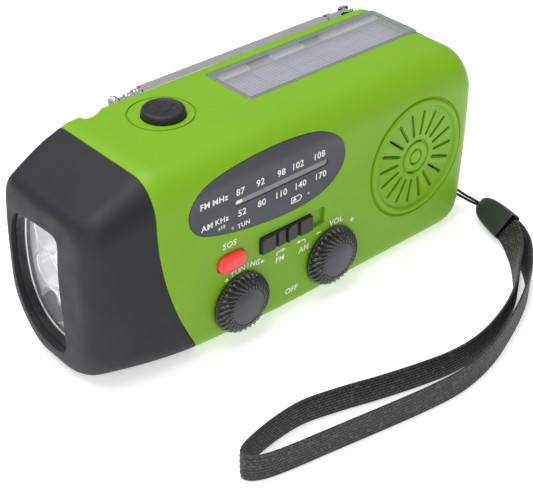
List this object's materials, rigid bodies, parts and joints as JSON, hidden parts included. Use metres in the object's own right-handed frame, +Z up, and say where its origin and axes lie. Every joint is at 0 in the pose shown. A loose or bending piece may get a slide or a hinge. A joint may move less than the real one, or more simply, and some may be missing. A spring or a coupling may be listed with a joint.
{
  "type": "emergency radio",
  "caption": "Pocket emergency radio with a torch end, solar top, telescopic antenna, folding hand crank and a wrist strap.",
  "frame": {"origin": "middle of the flat base that the radio stands on", "axes": "+X towards the tail with the strap, -Y the dial face, +Z up"},
  "size_m": [0.1395, 0.1082, 0.0594],
  "materials": {
    "green_shell": "satin",
    "charcoal_shell": "soft-touch matt",
    "clear_plastic": "polished",
    "bright_reflector": "mirror",
    "led_epoxy": "clear",
    "circuit_board": "satin",
    "solar_silicon": "satin",
    "black_plastic": "satin",
    "dial_grey": "satin",
    "pale_plastic": "satin",
    "red_plastic": "satin",
    "steel": "brushed",
    "chrome_tube": "polished",
    "resistor_board": "satin",
    "dark_steel": "satin",
    "brass_pinion": "satin",
    "paper_cone": "matt",
    "cell_sleeve": "gloss",
    "ferrite": "matt",
    "copper_winding": "satin",
    "cord_fibre": "matt",
    "strap_plastic": "satin",
    "strap_webbing_fabric": "woven"
  },
  "bodies": {
    "root": {"front_shell": "green_shell", "rear_cover": "green_shell", "nose_cap": "charcoal_shell", "torch_lens": "clear_plastic", "reflector": "bright_reflector", "torch_leds": "led_epoxy", "torch_board": "circuit_board", "solar_cover": "clear_plastic", "solar_cell": "solar_silicon", "light_switch": "black_plastic", "light_board": "circuit_board", "dial_window": "dial_grey", "dial_slot_lens": "clear_plastic", "dial_back": "pale_plastic", "dial_cord": "cord_fibre", "cord_posts": "steel", "tuning_capacitor": "pale_plastic", "volume_control": "resistor_board", "band_switch": "steel", "sos_switch": "black_plastic", "speaker_frame": "steel", "speaker_cone": "paper_cone", "speaker_magnet": "dark_steel", "main_board": "circuit_board", "battery": "cell_sleeve", "battery_cradle": "black_plastic", "ferrite_rod": "ferrite", "ferrite_coil": "copper_winding", "gear_plates": "steel", "reduction_axle": "steel", "dynamo_can": "dark_steel", "usb_board": "circuit_board", "usb_ports": "steel", "antenna_base": "steel", "housing_screws": "dark_steel", "strap_cord": "cord_fibre", "strap_ferrule": "strap_plastic", "strap_webbing": "strap_webbing_fabric"},
    "lamp_key": {"light_button": "charcoal_shell"},
    "sos_key": {"sos_button": "red_plastic"},
    "band_key": {"band_slider": "black_plastic"},
    "tuning": {"tuning_knob": "black_plastic", "tuning_shaft": "pale_plastic", "tuning_drum": "pale_plastic"},
    "pointer": {"dial_pointer": "pale_plastic"},
    "volume": {"volume_knob": "black_plastic", "volume_shaft": "pale_plastic"},
    "crank": {"crank_shaft": "steel", "drive_gear": "pale_plastic", "crank_arm": "green_shell"},
    "fold_spindle": {"handle_spindle": "steel"},
    "grip": {"crank_handle": "black_plastic"},
    "reduction": {"reduction_gear": "pale_plastic"},
    "rotor": {"dynamo_pinion": "brass_pinion"},
    "port_flap": {"port_cover": "black_plastic"},
    "antenna_swivel_body": {"antenna_knuckle": "chrome_tube"},
    "antenna_mast": {"antenna_tube_1": "chrome_tube"},
    "antenna_stage_2": {"antenna_tube_2": "chrome_tube"},
    "antenna_stage_3": {"antenna_tube_3": "chrome_tube"},
    "antenna_tip": {"antenna_rod": "chrome_tube"}
  },
  "joints": [
    {"name": "torch_button_press", "type": "slide", "parent": "root", "child": "lamp_key", "axis": [0, 0, -1], "range_m": [0, 0.0008], "stiffness_N_per_m": 900, "springref_m": -0.0006},
    {"name": "distress_button_press", "type": "slide", "parent": "root", "child": "sos_key", "axis": [0, 1, 0], "range_m": [0, 0.0006], "stiffness_N_per_m": 900, "springref_m": -0.0006},
    {"name": "band_slide", "type": "slide", "parent": "root", "child": "band_key", "axis": [1, 0, 0], "range_m": [0, 0.0045]},
    {"name": "pointer_slide", "type": "slide", "parent": "root", "child": "pointer", "axis": [1, 0, 0], "range_m": [0, 0.0295]},
    {"name": "tuning_turn", "type": "hinge", "parent": "root", "child": "tuning", "pos_m": [-0.024, -0.023, 0.0122], "axis": [0, 1, 0], "range_deg": [0, 180]},
    {"name": "volume_turn", "type": "hinge", "parent": "root", "child": "volume", "pos_m": [0.0087, -0.023, 0.0122], "axis": [0, 1, 0], "range_deg": [0, 300]},
    {"name": "crank_spin", "type": "hinge", "parent": "root", "child": "crank", "pos_m": [0.02, 0.023, 0.0285], "axis": [0, 1, 0], "continuous": true},
    {"name": "reduction_spin", "type": "hinge", "parent": "root", "child": "reduction", "pos_m": [-0.001, 0.0132, 0.0285], "axis": [0, 1, 0], "continuous": true},
    {"name": "rotor_spin", "type": "hinge", "parent": "root", "child": "rotor", "pos_m": [-0.02073, 0.0132, 0.02132], "axis": [0, 1, 0], "continuous": true},
    {"name": "handle_fold", "type": "hinge", "parent": "crank", "child": "fold_spindle", "pos_m": [-0.026, 0.0272, 0.0285], "axis": [0, 0, 1], "range_deg": [0, 90]},
    {"name": "grip_spin", "type": "hinge", "parent": "fold_spindle", "child": "grip", "pos_m": [-0.026, 0.0272, 0.0285], "axis": [1, 0, 0], "continuous": true},
    {"name": "port_flap_hinge", "type": "hinge", "parent": "root", "child": "port_flap", "pos_m": [0.0674, 0.003, 0.0397], "axis": [0, -1, 0], "range_deg": [0, 100]},
    {"name": "antenna_swivel", "type": "hinge", "parent": "root", "child": "antenna_swivel_body", "pos_m": [0.056, 0.0218, 0.0552], "axis": [0, 0, -1], "range_deg": [0, 100]},
    {"name": "antenna_tilt", "type": "hinge", "parent": "antenna_swivel_body", "child": "antenna_mast", "pos_m": [0.056, 0.0218, 0.0552], "axis": [0, 1, 0], "range_deg": [0, 100]},
    {"name": "antenna_pull_1", "type": "slide", "parent": "antenna_mast", "child": "antenna_stage_2", "axis": [-1, 0, 0], "range_m": [0, 0.058]},
    {"name": "antenna_pull_2", "type": "slide", "parent": "antenna_stage_2", "child": "antenna_stage_3", "axis": [-1, 0, 0], "range_m": [0, 0.058]},
    {"name": "antenna_pull_3", "type": "slide", "parent": "antenna_stage_3", "child": "antenna_tip", "axis": [-1, 0, 0], "range_m": [0, 0.058]}
  ],
  "couplings": [
    {"joint": "tuning_turn", "follows": "pointer_slide", "rad_per_m": 106.49},
    {"joint": "reduction_spin", "follows": "crank_spin", "ratio": -4},
    {"joint": "rotor_spin", "follows": "crank_spin", "ratio": 16}
  ]
}
